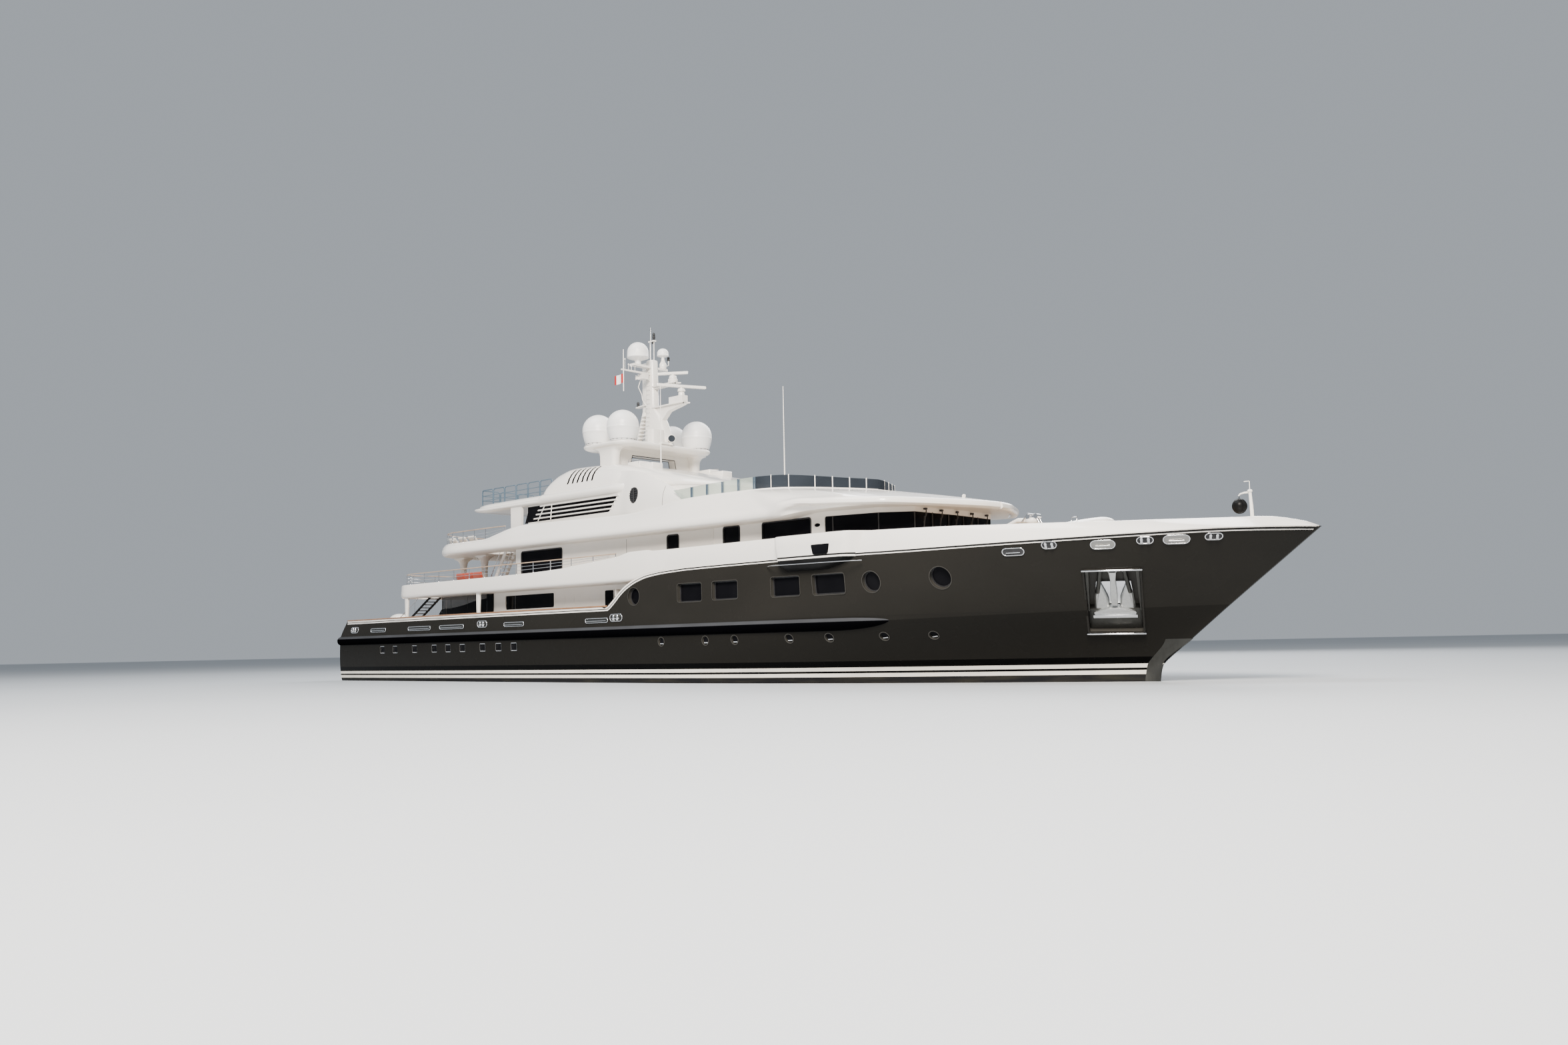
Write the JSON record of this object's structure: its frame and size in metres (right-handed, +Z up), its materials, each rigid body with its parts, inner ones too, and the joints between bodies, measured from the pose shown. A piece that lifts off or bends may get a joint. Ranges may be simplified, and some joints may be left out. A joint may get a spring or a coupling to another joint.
{
  "type": "motor yacht, 1:2 scale model",
  "caption": "Long decked motor yacht afloat, dark flared hull under white stepped deckhouses, radar arch with domes, mast, twin screws and rudders.",
  "frame": {"origin": "on the centreline amidships, at the waterline", "axes": "+X towards the bow, +Y to port, +Z up"},
  "size_m": [35.85, 7.55, 13.8535],
  "materials": {
    "hull_paint": "gloss charcoal topside paint over white and black boot stripes",
    "bottom_paint": "matt dark antifouling",
    "white_paint": "warm white gloss",
    "white_gelcoat": "satin gelcoat",
    "dark_glass": "dark tinted glass",
    "clear_glass": "grey tinted glass",
    "stainless": "polished",
    "bronze": "cast and polished nickel bronze"
  },
  "bodies": {
    "ship": {"hull": "hull_paint", "rub_rail_port": "hull_paint", "rub_rail_starboard": "hull_paint", "bow_bulwark": "white_paint", "upper_deck": "white_paint", "saloon": "white_paint", "upper_deckhouse": "white_paint", "bridge_windows": "dark_glass", "sun_deck": "white_paint", "hardtop": "white_paint", "sun_deck_house": "white_paint", "radar_arch": "white_paint", "dome_fore_port": "white_gelcoat", "dome_fore_starboard": "white_gelcoat", "dome_aft_port": "white_gelcoat", "dome_aft_starboard": "white_gelcoat", "mast": "white_paint", "windbreak": "clear_glass", "pillar_aft_port": "white_paint", "pillar_aft_starboard": "white_paint", "pillar_fore_port": "white_paint", "pillar_fore_starboard": "white_paint", "column_aft_port": "white_paint", "column_aft_starboard": "white_paint", "column_fore_port": "white_paint", "column_fore_starboard": "white_paint", "aft_stair_port": "white_paint", "aft_stair_starboard": "white_paint", "sun_stair_port": "white_paint", "sun_stair_starboard": "white_paint", "wing_station_port": "white_paint", "wing_station_starboard": "white_paint", "bow_staff": "white_paint", "shaft_bracket_port": "bottom_paint", "shaft_bracket_starboard": "bottom_paint", "upper_deck_rail_port": "stainless", "upper_deck_rail_starboard": "stainless", "sun_deck_rail_port": "stainless", "sun_deck_rail_starboard": "stainless", "roof_rail_port": "stainless", "roof_rail_starboard": "stainless", "anchor_port": "stainless", "anchor_starboard": "stainless"},
    "screw_port": {"propeller_port": "bronze"},
    "screw_starboard": {"propeller_starboard": "bronze"},
    "rudder_port": {"rudder_port": "bottom_paint"},
    "rudder_starboard": {"rudder_starboard": "bottom_paint"},
    "fin_port": {"fin_port": "bottom_paint"},
    "fin_starboard": {"fin_starboard": "bottom_paint"},
    "scanner_upper": {"radar_scanner_upper": "white_gelcoat"},
    "scanner_lower": {"radar_scanner_lower": "white_gelcoat"},
    "saloon_leaf_port": {"saloon_door_port": "dark_glass"},
    "saloon_leaf_starboard": {"saloon_door_starboard": "dark_glass"},
    "upper_leaf_port": {"upper_door_port": "dark_glass"},
    "upper_leaf_starboard": {"upper_door_starboard": "dark_glass"},
    "side_leaf_port": {"side_door_port": "white_paint"},
    "side_leaf_starboard": {"side_door_starboard": "white_paint"},
    "transom_leaf": {"transom_door": "hull_paint"}
  },
  "joints": [
    {"name": "screw_port_spin", "type": "hinge", "parent": "ship", "child": "screw_port", "pos_m": [-14.1, 1.3, -1.56], "axis": [0.9986, 0, 0.0523], "continuous": true},
    {"name": "screw_starboard_spin", "type": "hinge", "parent": "ship", "child": "screw_starboard", "pos_m": [-14.1, -1.3, -1.56], "axis": [0.9986, 0, 0.0523], "continuous": true},
    {"name": "rudder_port_turn", "type": "hinge", "parent": "ship", "child": "rudder_port", "pos_m": [-15.6, 1.3, -0.875], "axis": [0, 0, 1], "range_deg": [-35, 35]},
    {"name": "rudder_starboard_turn", "type": "hinge", "parent": "ship", "child": "rudder_starboard", "pos_m": [-15.6, -1.3, -0.875], "axis": [0, 0, 1], "range_deg": [-35, 35]},
    {"name": "fin_port_tilt", "type": "hinge", "parent": "ship", "child": "fin_port", "pos_m": [1, 2.875, -1.675], "axis": [0, 0.8191, -0.5736], "range_deg": [-20, 20]},
    {"name": "fin_starboard_tilt", "type": "hinge", "parent": "ship", "child": "fin_starboard", "pos_m": [1, -2.875, -1.675], "axis": [0, -0.8191, -0.5736], "range_deg": [-20, 20]},
    {"name": "scanner_upper_spin", "type": "hinge", "parent": "ship", "child": "scanner_upper", "pos_m": [-2.4, 0, 9.735], "axis": [0, 0, 1], "continuous": true},
    {"name": "scanner_lower_spin", "type": "hinge", "parent": "ship", "child": "scanner_lower", "pos_m": [-2, 0, 9.245], "axis": [0, 0, 1], "continuous": true},
    {"name": "saloon_port_slide", "type": "slide", "parent": "ship", "child": "saloon_leaf_port", "axis": [0, 1, 0], "range_m": [0, 0.7]},
    {"name": "saloon_starboard_slide", "type": "slide", "parent": "ship", "child": "saloon_leaf_starboard", "axis": [0, -1, 0], "range_m": [0, 0.7]},
    {"name": "upper_port_slide", "type": "slide", "parent": "ship", "child": "upper_leaf_port", "axis": [0, 1, 0], "range_m": [0, 0.66]},
    {"name": "upper_starboard_slide", "type": "slide", "parent": "ship", "child": "upper_leaf_starboard", "axis": [0, -1, 0], "range_m": [0, 0.66]},
    {"name": "side_port_hinge", "type": "hinge", "parent": "ship", "child": "side_leaf_port", "pos_m": [-1.705, 2.7, 2.25], "axis": [0, 0, 1], "range_deg": [0, 90]},
    {"name": "side_starboard_hinge", "type": "hinge", "parent": "ship", "child": "side_leaf_starboard", "pos_m": [-1.705, -2.7, 2.25], "axis": [0, 0, -1], "range_deg": [0, 90]},
    {"name": "transom_hinge", "type": "hinge", "parent": "ship", "child": "transom_leaf", "pos_m": [-17.75, 0, 0.5], "axis": [0, -1, 0], "range_deg": [0, 90]}
  ],
  "couplings": [
    {"joint": "rudder_starboard_turn", "follows": "rudder_port_turn", "ratio": 1}
  ]
}
